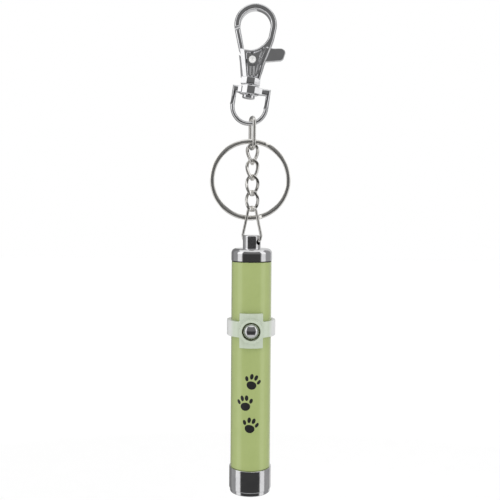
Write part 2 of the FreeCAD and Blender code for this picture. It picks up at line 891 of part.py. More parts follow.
cap_shoulder = "(tube_low + tube_long + seal_high)"
cap_foot = f"({cap_shoulder} - skirt_long)"
cap_top = "(skirt_long + cap_high)"
tail = turned(
    "tail_cap",
    [
        ("skirt_bore / 2", "0"),
        ("skirt_dia / 2", "0"),
        ("skirt_dia / 2", "skirt_long"),
        ("cap_dia / 2", "skirt_long"),
        ("cap_dia / 2", f"{cap_top} - cap_round"),
        ("cap_dia / 2 - cap_round", cap_top, "cap_round", 1),
        ("post_dia / 2", cap_top),
        ("post_dia / 2", f"{cap_top} + post_high - post_round"),
        ("post_dia / 2 - post_round", f"{cap_top} + post_high", "post_round", 1),
        ("0", f"{cap_top} + post_high"),
        ("0", "skirt_bore_high"),
        ("skirt_bore / 2", "skirt_bore_high"),
    ],
)
thread = outline(
    sketch_on(tail, "thread_groove", "XZ_Plane"),
    [
        ("skirt_dia / 2 + thread_over", "thread_first - thread_deep"),
        ("skirt_dia / 2 + thread_over", "thread_first + thread_deep"),
        ("skirt_dia / 2 - thread_deep", "thread_first"),
    ],
)
before = volume(tail)
groove = feature(tail, "Groove", "thread_cut", thread)
groove.ReferenceAxis = (thread, ["V_Axis"])
groove.Angle = 360
assert volume(tail) < before
tail.Tip = groove
turns = tail.newObject("PartDesign::LinearPattern", "thread_turns_up")
turns.Originals = [groove]
turns.Direction = (thread, ["V_Axis"])
bind(turns, Length="thread_pitch * (thread_turns - 1)", Occurrences="thread_turns")
tail.Tip = turns
cross = circle(
    sketch_on(tail, "cross_hole", "YZ_Plane"), "0", f"{cap_top} + cross_hole_up", "cross_hole / 2"
)
through(tail, "cross_hole_cut", cross)
in_pen(tail, cap_foot, angle="bail_turn")

in_pen(
    turned(
        "seal_ring",
        [
            ("skirt_dia / 2 + seal_fit", "seal_low_gap"),
            ("seal_outer / 2", "seal_low_gap"),
            ("seal_outer / 2", "seal_high - seal_high_gap"),
            ("skirt_dia / 2 + seal_fit", "seal_high - seal_high_gap"),
        ],
    ),
    "tube_low + tube_long",
)

cells_top = "(cell_low + 3 * cell_high + 2 * cell_gap)"
in_pen(
    coil(
        "cap_spring",
        "cap_spring_radius",
        "cap_spring_wire",
        "cap_spring_turns",
        f"{cap_foot} + skirt_bore_high - {cells_top} - 2 * cap_spring_gap",
    ),
    f"{cells_top} + cap_spring_gap + cap_spring_wire / 2",
)

for number in range(1, 4):
    cell = turned(
        f"cell_{number}",
        [
            ("0", "0"),
            ("cell_dia / 2 - cell_round", "0"),
            ("cell_dia / 2", "cell_round", "cell_round", 1),
            ("cell_dia / 2", "cell_high - cell_lid_high - cell_round"),
            (
                "cell_dia / 2 - cell_round",
                "cell_high - cell_lid_high",
                "cell_round",
                1,
            ),
            ("cell_lid_dia / 2", "cell_high - cell_lid_high"),
            ("cell_lid_dia / 2", "cell_high"),
            ("0", "cell_high"),
        ],
    )
    in_pen(cell, f"cell_low + {3 - number} * (cell_high + cell_gap)")

in_pen(
    turned(
        "cell_sleeve",
        [
            ("sleeve_inner / 2", "0"),
            ("sleeve_outer / 2", "0"),
            ("sleeve_outer / 2", f"{cells_top} - cell_low - sleeve_gap"),
            ("sleeve_inner / 2", f"{cells_top} - cell_low - sleeve_gap"),
        ],
    ),
    "cell_low",
)

# ---- barrel, lens end ----

tube = turned(
    "barrel_tube",
    [
        ("tube_inner / 2", "0"),
        ("tube_outer / 2 - tube_edge", "0"),
        ("tube_outer / 2", "tube_edge"),
        ("tube_outer / 2", "tube_long - tube_edge"),
        ("tube_outer / 2 - tube_edge", "tube_long"),
        ("tube_inner / 2", "tube_long"),
    ],
)
button_hole = circle(
    sketch_on(tube, "button_hole_outline", "XZ_Plane"), "0", "button_level - tube_low", "button_hole / 2"
)
sunk(tube, "button_hole_cut", button_hole, "tube_outer", reverse=True)
in_pen(tube, "tube_low + tube_gap")

in_pen(
    turned(
        "head_cap",
        [
            ("head_window / 2", "0"),
            ("head_tip_dia / 2 - head_edge", "0"),
            ("head_tip_dia / 2", "head_edge", "head_edge", 1),
            ("head_tip_dia / 2", "head_tip_high"),
            ("head_dia / 2", "head_step_high"),
            ("head_dia / 2", "tube_low - head_edge / 2"),
            ("head_dia / 2 - head_edge / 2", "tube_low", "head_edge / 2", 1),
            ("head_neck_dia / 2", "tube_low"),
            ("head_neck_dia / 2", "tube_low + head_neck_long"),
            ("head_bore / 2", "tube_low + head_neck_long"),
            ("head_bore / 2", "head_seat_high"),
            ("head_window / 2", "head_seat_high"),
        ],
    ),
    "0",
)

in_pen(
    turned(
        "lens",
        [
            ("0", "0"),
            ("pole_flat", "0"),
            ("lens_dia / 2 - lens_flat", "lens_bulge", "lens_curve", 1),
            ("lens_dia / 2", "lens_bulge"),
            ("lens_dia / 2", "lens_bulge + lens_rim"),
            ("lens_dia / 2 - lens_flat", "lens_bulge + lens_rim"),
            ("pole_flat", "2 * lens_bulge + lens_rim", "lens_curve", 1),
            ("0", "2 * lens_bulge + lens_rim"),
        ],
    ),
    "head_seat_high + stack_gap - lens_bulge",
)

lens_top = "(head_seat_high + stack_gap + lens_rim)"
in_pen(
    turned(
        "lens_ring",
        [
            ("lens_ring_bore / 2 + lens_ring_flare", "0"),
            ("lens_dia / 2", "0"),
            ("lens_dia / 2", "lens_ring_high"),
            ("lens_ring_bore / 2", "lens_ring_high"),
            ("lens_ring_bore / 2", "lens_ring_flare"),
        ],
    ),
    f"{lens_top} + stack_gap",
)

film_ring_low = "(tube_low + head_neck_long + stack_gap)"
in_pen(
    turned(
        "film_ring",
        [
            ("film_ring_bore / 2", "0"),
            ("insert_dia / 2", "0"),
            ("insert_dia / 2", "film_ring_high"),
            ("film_seat_bore / 2", "film_ring_high"),
            ("film_seat_bore / 2", "film_seat_high"),
            ("film_ring_bore / 2", "film_seat_high"),
        ],
    ),
    film_ring_low,
)

film = doc.addObject("Part::Cylinder", "picture_film")
bind(film, Radius="film_dia / 2", Height="film_thick")
in_pen(film, f"{film_ring_low} + film_seat_high + stack_gap")

in_pen(
    turned(
        "shade_tube",
        [
            ("shade_bore / 2", "0"),
            ("insert_dia / 2", "0"),
            ("insert_dia / 2", "shade_high"),
            ("shade_bore / 2", "shade_high"),
        ],
    ),
    f"{film_ring_low} + film_ring_high + stack_gap",
)

# ---- lamp module ----


def primitive(kind, name, **expressions):
    item = doc.addObject(f"Part::{kind}", name)
    bind(item, **expressions)
    return item


def cut(name, base, *tools):
    """Base less every tool."""
    tool = tools[0]
    if len(tools) > 1:
        tool = doc.addObject("Part::MultiFuse", f"{name}_tools")
        tool.Shapes = list(tools)
    item = doc.addObject("Part::Cut", name)
    item.Base = base
    item.Tool = tool
    return item


def carrier_half(label, side):
    """Half of the module's plastic shell; side is -1 for the front half and 1 for the back."""
    outer = primitive(
        "Cylinder", f"{label}_outer", Radius="insert_dia / 2", Height="carrier_long", Angle="180"
    )
    outer.Placement = FreeCAD.Placement(
        FreeCAD.Vector(0, side * value("carrier_split"), 0),
        FreeCAD.Rotation(FreeCAD.Vector(0, 0, 1), 0 if side > 0 else 180),
    )
    rim = primitive("Cylinder", f"{label}_rim", Radius="insert_dia / 2", Height="carrier_long")
    shell = doc.addObject("Part::Common", f"{label}_shell")
    shell.Base, shell.Tool = outer, rim
    hollow = primitive(
        "Cylinder",
        f"{label}_hollow",
        Radius="carrier_bore / 2",
        Height="carrier_long",
        Placement__Base__z="carrier_wall",
    )
    lamp_hole = primitive(
        "Cylinder",
        f"{label}_lamp_hole",
        Radius="lamp_dia / 2 + lamp_hole_play",
        Height="carrier_wall * 3",
        Placement__Base__z="-carrier_wall",
    )
    tools = [hollow, lamp_hole]
    if side < 0:
        window = primitive(
            "Cylinder", f"{label}_window", Radius="carrier_button_hole / 2", Height="insert_dia"
        )
        window.Placement.Rotation = FreeCAD.Rotation(FreeCAD.Vector(1, 0, 0), 90)
        bind(window, Placement__Base__z="button_level - carrier_low")
        tools.append(window)
    return cut(label, shell, *tools)


in_pen(carrier_half("carrier_front", -1), "carrier_low")
in_pen(carrier_half("carrier_back", 1), "carrier_low")

lamp = turned(
    "lamp",
    [
        ("0", "-lamp_straight - lamp_dia / 2"),
        ("lamp_dia / 2", "-lamp_straight", "lamp_dia / 2", 1),
        ("lamp_dia / 2", "0"),
        ("lamp_flange_dia / 2", "0"),
        ("lamp_flange_dia / 2", "lamp_flange_high"),
        ("0", "lamp_flange_high"),
    ],
)
leads = sketch_on(lamp, "lamp_leads", "XY_Plane", "lamp_flange_high")
for side in (-1, 1):
    middle = f"{side} * lamp_lead_pitch / 2"
    circle(leads, middle, "0", "lamp_lead / 2")
feature(lamp, "Pad", "lamp_leads_pad", leads, Length="lamp_lead_long")
doc.recompute()
in_pen(lamp, "carrier_low + carrier_wall + stack_gap")

board = primitive(
    "Box", "circuit_board", Length="board_wide", Width="board_thick", Height="board_long"
)
place(board, "pen_x - board_wide / 2", "pen_y + board_y", "pen_z + board_low")

switch_box = primitive(
    "Box",
    "switch_shell",
    Length="switch_wide",
    Width="switch_high",
    Height="switch_long",
    Placement__Base__x="-switch_wide / 2",
    Placement__Base__y="board_y - stack_gap - switch_high",
    Placement__Base__z="-switch_long / 2",
)
switch_bore = primitive(
    "Cylinder", "switch_bore_tool", Radius="switch_bore / 2", Height="switch_high * 5"
)
switch_bore.Placement.Rotation = FreeCAD.Rotation(FreeCAD.Vector(1, 0, 0), 90)
bind(switch_bore, Placement__Base__y="board_y - switch_high + switch_bore_deep")
in_pen(cut("switch_body", switch_box, switch_bore), "button_level")

plunger = primitive(
    "Cylinder", "switch_plunger", Radius="plunger_dia / 2", Height="plunger_outer - plunger_inner"
)
place(
    plunger,
    "pen_x",
    "pen_y - plunger_inner",
    "pen_z + button_level",
    axis=(1, 0, 0),
    angle="90",
)

resistor = new_body("resistor")
chip = outline(
    sketch_on(resistor, "resistor_outline", "XZ_Plane"),
    [
        ("resistor_wide / 2", "resistor_long / 2"),
        ("-resistor_wide / 2", "resistor_long / 2"),
        ("-resistor_wide / 2", "-resistor_long / 2"),
        ("resistor_wide / 2", "-resistor_long / 2"),
    ],
)
feature(resistor, "Pad", "resistor_pad", chip, Length="resistor_high")
chip_face = 0.1 - value("resistor_high")
rounded(resistor, "resistor_edge", lambda edge: edge.BoundBox.YMax < chip_face, kind="Chamfer")
place(resistor, "pen_x", "pen_y + board_y - stack_gap", "pen_z + resistor_level")

plate_disc = primitive("Cylinder", "plate_disc", Radius="plate_dia / 2", Height="plate_thick")
plate_tab = primitive(
    "Box",
    "plate_tab",
    Length="plate_tab_wide",
    Width="plate_tab_thick",
    Height="plate_tab_long",
    Placement__Base__x="-plate_tab_wide / 2",
    Placement__Base__y="plate_tab_y",
    Placement__Base__z="-plate_tab_long + plate_thick / 2",
)
plate = doc.addObject("Part::MultiFuse", "contact_plate")
plate.Shapes = [plate_disc, plate_tab]
in_pen(plate, "cell_low - stack_gap - plate_thick")

# ---- button and clip ----

band = primitive(
    "Cylinder",
    "clip_band",
    Radius="clip_outer / 2",
    Height="clip_band_high",
    Placement__Base__z="clip_band_up - clip_band_high / 2",
)
saddle_round = primitive(
    "Cylinder",
    "clip_saddle_round",
    Radius="clip_outer / 2",
    Height="clip_saddle_high",
    Placement__Base__z="-clip_saddle_high / 2",
)
saddle_box = primitive(
    "Box",
    "clip_saddle_box",
    Length="clip_saddle_wide",
    Width="clip_outer",
    Height="clip_saddle_high",
    Placement__Base__x="-clip_saddle_wide / 2",
    Placement__Base__y="-clip_outer",
    Placement__Base__z="-clip_saddle_high / 2",
)
saddle = doc.addObject("Part::Common", "clip_saddle")
saddle.Base, saddle.Tool = saddle_round, saddle_box
clip_collar = primitive(
    "Cylinder", "clip_collar", Radius="clip_collar_dia / 2", Height="clip_collar_reach"
)
clip_collar.Placement.Rotation = FreeCAD.Rotation(FreeCAD.Vector(1, 0, 0), 90)
clip_solid = doc.addObject("Part::MultiFuse", "clip_solid")
clip_solid.Shapes = [band, saddle, clip_collar]
clip_bore = primitive(
    "Cylinder",
    "clip_bore",
    Radius="clip_inner / 2",
    Height="clip_saddle_high * 2",
    Placement__Base__z="-clip_saddle_high",
)
clip_hole = primitive(
    "Cylinder", "clip_hole_tool", Radius="clip_hole / 2", Height="clip_collar_reach * 2"
)
clip_hole.Placement.Rotation = FreeCAD.Rotation(FreeCAD.Vector(1, 0, 0), 90)
in_pen(cut("button_clip", clip_solid, clip_bore, clip_hole), "button_level")

button = turned(
    "button_cap",
    [
        ("0", "stem_inner"),
        ("stem_dia / 2", "stem_inner"),
        ("stem_dia / 2", "dome_base"),
        ("dome_dia / 2", "dome_base"),
        ("dome_dia / 2", "dome_edge"),
        ("pole_flat", "dome_top", "dome_curve", 1),
        ("0", "dome_top"),
    ],
)
in_pen(button, "button_level", axis=(1, 0, 0), angle="90")

# ---- check and write ----

doc.recompute()
for item in doc.Objects:
    assert "Invalid" not in item.State and "Error" not in item.State, f"{item.Label}: {item.State}"
os.makedirs("parts", exist_ok=True)
for item in nodes:
    shape = item.Shape
    assert not shape.isNull() and shape.isValid(), f"{item.Label} is not a sound shape"
    assert len(shape.Solids) == 1, f"{item.Label} has {len(shape.Solids)} solids"
    shape.exportStep(f"parts/{item.Label}.step")
print(len(nodes), "nodes written")
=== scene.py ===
import json
import math

import bmesh
import bpy
from mathutils import Matrix, Vector


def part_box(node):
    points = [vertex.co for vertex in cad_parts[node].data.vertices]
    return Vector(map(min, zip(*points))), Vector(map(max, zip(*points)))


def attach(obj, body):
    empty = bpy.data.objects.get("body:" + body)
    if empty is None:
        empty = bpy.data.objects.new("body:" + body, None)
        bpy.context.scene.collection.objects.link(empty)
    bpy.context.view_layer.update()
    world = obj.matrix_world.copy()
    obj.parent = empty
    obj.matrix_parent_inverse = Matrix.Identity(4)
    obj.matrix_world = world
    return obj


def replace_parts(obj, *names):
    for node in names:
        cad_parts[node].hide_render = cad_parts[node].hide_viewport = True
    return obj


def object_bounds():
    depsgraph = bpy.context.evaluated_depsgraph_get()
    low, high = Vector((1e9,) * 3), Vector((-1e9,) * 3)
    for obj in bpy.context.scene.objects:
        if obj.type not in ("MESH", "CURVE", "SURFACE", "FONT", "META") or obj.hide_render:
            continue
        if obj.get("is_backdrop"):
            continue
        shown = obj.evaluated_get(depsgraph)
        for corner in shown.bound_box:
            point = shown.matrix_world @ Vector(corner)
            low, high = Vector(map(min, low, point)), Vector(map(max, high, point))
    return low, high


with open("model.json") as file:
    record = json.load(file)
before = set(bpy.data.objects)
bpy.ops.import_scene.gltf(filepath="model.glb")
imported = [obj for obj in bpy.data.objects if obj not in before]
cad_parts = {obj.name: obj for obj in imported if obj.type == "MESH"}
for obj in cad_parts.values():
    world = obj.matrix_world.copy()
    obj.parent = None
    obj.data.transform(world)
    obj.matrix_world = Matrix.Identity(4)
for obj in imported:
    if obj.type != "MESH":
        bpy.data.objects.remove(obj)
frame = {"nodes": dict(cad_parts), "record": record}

# Looks of the keychain light pointer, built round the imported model. Metres, Z up, front to -Y.

MM = 0.001
EIGHT_TURN = math.radians(22.5)  # turns a face of an eight-sided piece to the front
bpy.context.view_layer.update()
nodes = frame["nodes"]
joints = {row["name"]: row for row in frame["record"]["behaviour"]["joints"]}


# ---- shader helpers ----

def shader(name):
    """A new material with its node tree, its Principled shader and a maker of linked nodes."""
    made = bpy.data.materials.new(name)
    made.use_nodes = True
    tree = made.node_tree
    surface = tree.nodes["Principled BSDF"]

    def add(kind, links=(), **settings):
        node = tree.nodes.new(kind)
        for key, value in settings.items():
            if hasattr(node, key):
                setattr(node, key, value)
            else:
                node.inputs[key.replace("_", " ").title()].default_value = value
        for socket, source in links:
            tree.links.new(source, node.inputs[socket])
        return node

    return made, tree, surface, add


def noise(add, where, scale, detail=3.0, rough=0.55):
    return add("ShaderNodeTexNoise", [("Vector", where)], scale=scale, detail=detail,
               roughness=rough).outputs["Fac"]


def ramp(add, source, low, high, start=0.3, end=0.7):
    """A number that goes from low to high as the source goes from start to end."""
    node = add("ShaderNodeMapRange", [("Value", source)])
    for socket, value in (("From Min", start), ("From Max", end), ("To Min", low), ("To Max", high)):
        node.inputs[socket].default_value = value
    return node.outputs["Result"]


def tint(add, source, one, two):
    """A colour between two, by the source."""
    node = add("ShaderNodeMix", [("Factor", source)], data_type="RGBA")
    for socket, colour in zip([s for s in node.inputs if s.type == "RGBA"], (one, two)):
        socket.default_value = (*colour, 1)
    return next(s for s in node.outputs if s.type == "RGBA")


def bump(add, tree, surface, height, strength, distance):
    node = add("ShaderNodeBump", [("Height", height)])
    node.inputs["Strength"].default_value = strength
    node.inputs["Distance"].default_value = distance
    tree.links.new(node.outputs["Normal"], surface.inputs["Normal"])


def plated(name, bright, dull, rough=0.05, wear=0.06, wave=700, deep=0.03 * MM, marks=2600, metal=1.0):
    """Plated metal: cloudy polish, hairline marks and the slight waviness of the piece below."""
    made, tree, surface, add = shader(name)
    where = add("ShaderNodeTexCoord").outputs["Object"]
    cloud = noise(add, where, 320, 4)
    drawn = add("ShaderNodeMapping", [("Vector", where)])
    drawn.inputs["Scale"].default_value = (1.0, 1.0, 0.12)
    hair = noise(add, drawn.outputs["Vector"], marks, 2)
    tree.links.new(tint(add, ramp(add, cloud, 0, 1), bright, dull), surface.inputs["Base Color"])
    surface.inputs["Metallic"].default_value = metal
    both = add("ShaderNodeMath", [(0, ramp(add, cloud, rough, rough + wear)),
                                  (1, ramp(add, hair, 0, wear, 0.55, 0.8))], operation="ADD")
    tree.links.new(both.outputs["Value"], surface.inputs["Roughness"])
    bump(add, tree, surface, noise(add, where, wave, 2), 0.5, deep)
    return made


def moulded(name, colour, other, rough=0.45, grain=1800, deep=0.03 * MM, **sockets):
    """Moulded plastic, rubber or lacquer: a fine grain and faint flow clouds."""
    made, tree, surface, add = shader(name)
    where = add("ShaderNodeTexCoord").outputs["Object"]
    cloud = noise(add, where, 180, 3)
    fine = noise(add, where, grain, 3)
    tree.links.new(tint(add, ramp(add, cloud, 0, 1), colour, other), surface.inputs["Base Color"])
    tree.links.new(ramp(add, fine, rough - 0.05, rough + 0.07), surface.inputs["Roughness"])
    for socket, value in sockets.items():
        surface.inputs[socket.replace("_", " ")].default_value = value
    bump(add, tree, surface, fine, 0.3, deep)
    return made


def milky(name):
    """Milky soft plastic, opaque, with the tube's green painted in where the tube is behind it: a painted
    show-through, not light passing through the plastic.
    """
    made, tree, surface, add = shader(name)
    where = add("ShaderNodeTexCoord").outputs["Object"]
    # painted show-through: near the tube's axis the colour is a green that stands in for the tube seen
    # through the plastic
    apart = add("ShaderNodeSeparateXYZ", [("Vector", where)])
    off = add("ShaderNodeMath", [(0, apart.outputs["X"])], operation="SUBTRACT")
    off.inputs[1].default_value = TUBE_X
    side = add("ShaderNodeMath", [(0, off.outputs["Value"])], operation="ABSOLUTE")
    clear = ramp(add, side.outputs["Value"], 0, 1, 5.6 * MM, 6.8 * MM)
    stretched = add("ShaderNodeMapping", [("Vector", where)])
    stretched.inputs["Scale"].default_value = (1.0, 1.0, 0.25)
    flow = noise(add, stretched.outputs["Vector"], 900, 3)
    painted_tube_showthrough = tint(add, ramp(add, flow, 0, 1), (0.61, 0.68, 0.56), (0.54, 0.61, 0.48))
    node = add("ShaderNodeMix", [("Factor", clear)], data_type="RGBA")
    colours = [socket for socket in node.inputs if socket.type == "RGBA"]
    tree.links.new(painted_tube_showthrough, colours[0])
    colours[1].default_value = (0.74, 0.75, 0.74, 1)
    tree.links.new(next(s for s in node.outputs if s.type == "RGBA"), surface.inputs["Base Color"])
    tree.links.new(ramp(add, flow, 0.26, 0.4), surface.inputs["Roughness"])
    surface.inputs["Coat Weight"].default_value = 0.4
    bump(add, tree, surface, flow, 0.3, 0.03 * MM)
    return made


tube_low, tube_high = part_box("barrel_tube")
TUBE_X = (tube_low.x + tube_high.x) / 2
MATERIALS = {
    "chrome": plated("chrome", (0.90, 0.90, 0.91), (0.80, 0.80, 0.82)),
    "nickel": plated("nickel", (0.96, 0.95, 0.92), (0.84, 0.82, 0.78), 0.1, 0.08),
    "worn_nickel": plated("worn_nickel", (0.96, 0.95, 0.92), (0.84, 0.82, 0.78), 0.12, 0.08, metal=0.93),
    "peened_steel": plated("peened_steel", (0.99, 0.99, 0.98), (0.93, 0.93, 0.92), 0.46, metal=0.3),
    "spring_steel": plated("spring_steel", (0.62, 0.62, 0.63), (0.50, 0.50, 0.52), 0.22, 0.08),
    "cell_steel": plated("cell_steel", (0.78, 0.78, 0.78), (0.66, 0.66, 0.67), 0.25, 0.1),
    "contact": plated("contact", (0.80, 0.62, 0.32), (0.66, 0.49, 0.24), 0.2, 0.1),
    "tube_paint": moulded("tube_paint", (0.420, 0.505, 0.185), (0.398, 0.485, 0.170), 0.35, 2600,
                          0.006 * MM, Coat_Weight=1.0, Coat_Roughness=0.05),
    "clip_plastic": milky("clip_plastic"),
    "lamp_resin": moulded("lamp_resin", (0.96, 0.98, 1.0), (0.90, 0.94, 0.98), 0.12, 900,
                          0.01 * MM, Transmission_Weight=0.9, IOR=1.54),
    "lens_clear": moulded("lens_clear", (0.98, 0.99, 1.0), (0.94, 0.97, 0.99), 0.07, 500,
                          0.003 * MM, Transmission_Weight=1.0, IOR=1.49),
    "seal_rubber": moulded("seal_rubber", (0.02, 0.02, 0.02), (0.03, 0.03, 0.03), 0.6),
}
for row in frame["record"]["materials"]:
    if row["slot"] not in MATERIALS:
        colour = tuple(row["base_color"][:3])
        MATERIALS[row["slot"]] = moulded(row["slot"], colour, tuple(0.85 * c for c in colour))
body_of = {}
slot_of = {}
for name, members in frame["record"]["behaviour"]["bodies"].items():
    for member in members:
        body_of[member] = name
for row in frame["record"]["subparts"]:
    slot_of[row["node"]] = row["material_slot"]
    mesh = nodes[row["node"]].data
    mesh.materials.clear()
    mesh.materials.append(MATERIALS[row["material_slot"]])


# ---- mesh helpers ----

def piece(name, build, node, sharp=35, turn=None, slot=None):
    """An object from a bmesh, in the row frame, that rides on a CAD node's body."""
    bmesh.ops.remove_doubles(build, verts=build.verts, dist=1e-7)
    bmesh.ops.recalc_face_normals(build, faces=build.faces)
    if turn is not None:
        build.transform(turn)
    mesh = bpy.data.meshes.new(name)
    build.to_mesh(mesh)
    build.free()
    obj = bpy.data.objects.new(name, mesh)
    bpy.context.collection.objects.link(obj)
    return finished(obj, node, sharp, slot)


def finished(obj, node, sharp=35, slot=None):
    slot = slot or slot_of[node]
    obj.data.materials.clear()
    obj.data.materials.append(MATERIALS[slot])
    obj.data.shade_smooth()
    obj.data.set_sharp_from_angle(angle=math.radians(sharp))
    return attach(obj, body_of[node])


def loose(build, turn=None):
    """A plain object for use as a tool in a boolean."""
    bmesh.ops.remove_doubles(build, verts=build.verts, dist=1e-7)
    bmesh.ops.recalc_face_normals(build, faces=build.faces)
    if turn is not None:
        build.transform(turn)
    mesh = bpy.data.meshes.new("tool")
    build.to_mesh(mesh)
    build.free()
    obj = bpy.data.objects.new("tool", mesh)
    bpy.context.collection.objects.link(obj)
    return obj


def combined(obj, tool, operation="DIFFERENCE"):
    """Cuts obj with the tool, or joins the two, and deletes the tool."""
    step = obj.modifiers.new("cut", "BOOLEAN")
    step.operation = operation
    step.solver = "EXACT"
    step.object = tool
    graph = bpy.context.evaluated_depsgraph_get()
    made = bpy.data.meshes.new_from_object(obj.evaluated_get(graph))
    obj.modifiers.clear()
    obj.data = made
    bpy.data.objects.remove(tool)
    return obj


def path(points, step=6):
    """A closed outline in mm: (u, w) is a straight run's end, (u, w, radius, side) an arc's."""
    made = []
    for index, point in enumerate(points):
        end = Vector(point[:2])
        if len(point) == 4:
            start = Vector(points[index - 1][:2])
            radius, side = point[2], point[3]
            chord = end - start
            half = chord.length / 2
            off = math.sqrt(max(radius * radius - half * half, 0)) * side
            centre = (start + end) / 2 + Vector((-chord.y, chord.x)).normalized() * off
            first = math.atan2(start.y - centre.y, start.x - centre.x)
            sweep = 2 * math.asin(min(half / radius, 1)) * side
            count = max(2, round(abs(math.degrees(sweep)) / step))
            for k in range(1, count):
                turn = first + sweep * k / count
                made.append(centre + radius * Vector((math.cos(turn), math.sin(turn))))
        made.append(end)
    return made


def inset(loop, amount):
    """The outline moved to its left by the amount, with its corners mitred."""
    made = []
    for index, spot in enumerate(loop):
        before = (spot - loop[index - 1]).normalized()
        after = (loop[(index + 1) % len(loop)] - spot).normalized()
        side = Vector((-before.y - after.y, before.x + after.x)).normalized()
        reach = max(side.dot(Vector((-before.y, before.x))), 0.4)
        made.append(spot + side * (amount / reach))
    return made


def plate(loops, section):
    """A plate in the XZ plane from closed outlines in mm, through (inset, y) steps back to front."""
    build = bmesh.new()
    caps = ([], [])
    for loop in loops:
        rows = []
        for amount, y in section:
            rows.append([build.verts.new((p.x * MM, y * MM, p.y * MM)) for p in inset(loop, amount)])
        for one, two in zip(rows, rows[1:]):
            for k in range(len(loop)):
                build.faces.new((one[k - 1], one[k], two[k], two[k - 1]))
        for cap, row in zip(caps, (rows[0], rows[-1])):
            cap += [build.edges.get((row[k - 1], row[k])) for k in range(len(row))]
    for cap in caps:
        bmesh.ops.triangle_fill(build, use_beauty=True, use_dissolve=False, edges=cap)
    return build


def both_sides(steps):
    """A plate's section from its front half: (inset, height above the middle) from edge to face."""
    return [(a, y) for a, y in reversed(steps)] + [(a, -y) for a, y in steps]


def skin(build, rows):
    """Faces between closed rows of vertices; a row of one vertex is a pole."""
    for one, two in zip(rows, rows[1:]):
        for k in range(max(len(one), len(two))):
            near = [one[0]] if len(one) == 1 else [one[k - 1], one[k]]
            far = [two[0]] if len(two) == 1 else [two[k], two[k - 1]]
            if len(near) + len(far) > 2:
                build.faces.new(near + far)


def lathe(profile, segments=96):
    """A turned shape about Z from (radius, height) points in mm."""
    build = bmesh.new()
    rows = []
    for radius, high in profile:
        if radius < 1e-6:
            rows.append([build.verts.new((0, 0, high * MM))])
            continue
        row = []
        for k in range(segments):
            turn = 2 * math.pi * k / segments
            spot = Vector((radius * math.cos(turn), radius * math.sin(turn), high))
            row.append(build.verts.new(spot * MM))
        rows.append(row)
    skin(build, rows)
    return build


def drill(radius, low=-9, high=9):
    """A plain round tool for a hole, in mm."""
    return lathe([(0, low), (radius, low), (radius, high), (0, high)], 48)


def rounded_corner(radius, high, size, first, last, steps=6):
    """Points of a turned edge's arc, with its centre at (radius, high), in degrees."""
    made = []
    for k in range(steps + 1):
        turn = math.radians(first + (last - first) * k / steps)
        made.append((radius + size * math.cos(turn), high + size * math.sin(turn)))
    return made


# ---- swivel clasp ----

swivel = joints["swivel_turn"]
up = Vector(swivel["axis"])
lean = Matrix(((up.z, 0, up.x), (0, 1, 0), (-up.x, 0, up.z))).to_4x4()
on_clasp = Matrix.Translation(Vector(swivel["pos_m"])) @ lean
PIVOT_U, PIVOT_W = -0.4, 9.6
stand = Matrix.Translation(Vector((PIVOT_U, 0, PIVOT_W)) * MM) @ Matrix.Rotation(math.radians(90), 4, "X")
HALF = 1.9
SLOT_HALF = 0.95
RIVET_WELL = 1.75
RIVET_HOLE = 0.82
RIB_RADIUS = 0.27
RIB_SINK = 0.55

clasp_outline = path([
    (-3.3, 3.6), (2.85, 3.6), (3.6, 8.4), (4.85, 13.4), (5.6, 16.8), (5.9, 20.6),
    (-0.9, 27.4, 6.8, 1), (-7.7, 20.6, 6.8, 1), (-7.43, 18.7, 6.8, 1), (-5.66, 19.65),
    (-5.75, 20.6, 4.85, -1), (-0.9, 25.45, 4.85, -1), (3.95, 20.6, 4.85, -1), (3.75, 17.4),
    (1.9, 14.4, 6, -1), (-1.3, 12.6, 6, -1), (-5.4, 12.6), (-4.3, 8.4),
])
clasp_edge = [(0, HALF - 0.6), (0.05, HALF - 0.4), (0.4, HALF - 0.05), (0.5, HALF)]
recess_outline = path([
    (-1.35, 4.2), (2.0, 4.2), (3.15, 10.0), (4.3, 14.3), (2.6, 13.9), (1.4, 12.8, 6, -1),
    (-1.3, 11.8, 6, -1), (-2.95, 11.8),
])
recess_edge = [(0.35, HALF - 0.45), (0, HALF - 0.02), (-0.05, HALF + 0.6)]
# each rib's upper and lower end on the clasp's face
RIBS = (((-0.75, 7.5), (-0.45, 4.6)), ((0.35, 7.6), (0.75, 4.6)), ((2.1, 12.6), (1.45, 5.4)),
        ((3.3, 13.6), (2.2, 8.2)))
# the left facet's lower and upper end: place across, height and width
FACET_ENDS = ((-2.5, 1.6, 1.6), (-5.6, 13.8, 1.85))
slot_outline = path([
    (-6.4, 10.7), (-4.8, 10.7), (-3.1, 9.4), (-3.1, 5.6), (6.0, 5.6), (6.0, 14.6), (3.6, 14.6), (1.6, 15.2),
    (-6.4, 15.2),
])


def rod(start, end, y, radius):
    """A rod between two points of the clasp's face, in mm."""
    build = bmesh.new()
    along = Vector((end[0] - start[0], 0, end[1] - start[1])).normalized()
    side = Vector((along.z, 0, -along.x))
    rows = []
    for u, w in (start, end):
        row = []
        for k in range(16):
            turn = 2 * math.pi * k / 16
            out = side * radius * math.cos(turn) + Vector((0, radius * math.sin(turn), 0))
            row.append(build.verts.new((Vector((u, y, w)) + out) * MM))
        rows.append(row)
    skin(build, rows)
    build.faces.new(rows[0])
    build.faces.new(rows[1])
    return build


def facet_tool(face):
    """The wedge that cuts one side's left facet."""
    build = bmesh.new()
    ends = []
    for u, w, wide in FACET_ENDS:
        section = ((u - 0.9, HALF - 2.6), (u + 0.45, HALF - 0.99), (u + wide, HALF + 0.02),
                   (u + wide, HALF + 1), (u - 0.9, HALF + 1))
        ends.append([build.verts.new((x * MM, y * face * MM, w * MM)) for x, y in section])
    for k in range(len(section)):
        build.faces.new((ends[0][k - 1], ends[0][k], ends[1][k], ends[1][k - 1]))
    build.faces.new(ends[0])
    build.faces.new(ends[1])
    return build


